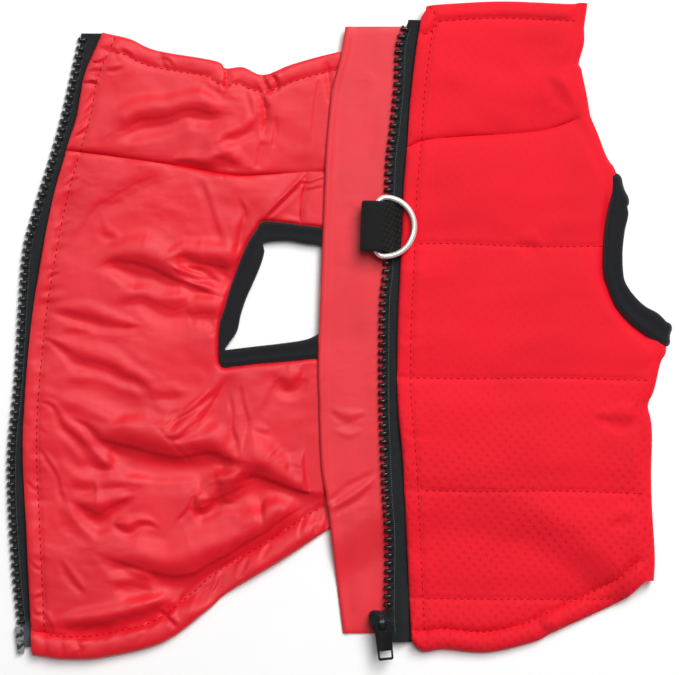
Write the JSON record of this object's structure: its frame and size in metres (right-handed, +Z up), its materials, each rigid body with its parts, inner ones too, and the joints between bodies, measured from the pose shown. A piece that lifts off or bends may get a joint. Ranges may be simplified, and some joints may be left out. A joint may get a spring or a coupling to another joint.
{
  "type": "dog coat",
  "caption": "Padded dog coat laid open and folded once, with a back zip, armholes bound in black, a guard flap and a leash ring.",
  "frame": {"origin": "on the table under the middle of the laid coat", "axes": "+X to the right of the laid coat (towards its fold), +Y towards the collar, +Z up from the table"},
  "size_m": [0.2602, 0.2565, 0.0135],
  "materials": {
    "lining": "satin",
    "shell": "matt, quilted",
    "flap_cloth": "satin",
    "binding_tape": "matt",
    "zip_tape": "matt, woven",
    "resin": "gloss",
    "webbing": "matt, woven",
    "nickel": "polished nickel"
  },
  "bodies": {
    "coat": {"back_left": "lining", "belly": "lining", "back_right": "shell", "collar": "shell", "flap": "flap_cloth", "binding_left": "binding_tape", "binding_right": "binding_tape", "zip_tape_left": "zip_tape", "zip_tape_right": "zip_tape", "zip_chain_left": "resin", "zip_chain_right": "resin", "zip_slider": "resin", "zip_pin": "resin", "zip_box": "resin", "leash_loop": "webbing"},
    "ring": {"d_ring": "nickel"},
    "pull": {"zip_pull": "resin"}
  },
  "joints": [
    {"name": "ring_swing", "type": "hinge", "parent": "coat", "child": "ring", "pos_m": [0.0143, 0.0405, 0.0101], "axis": [-0.0628, -0.998, 0], "range_deg": [0, 195]},
    {"name": "pull_swing", "type": "hinge", "parent": "coat", "child": "pull", "pos_m": [0.0166, -0.1131, 0.0079], "axis": [-0.9945, -0.1045, 0], "range_deg": [0, 180]}
  ]
}
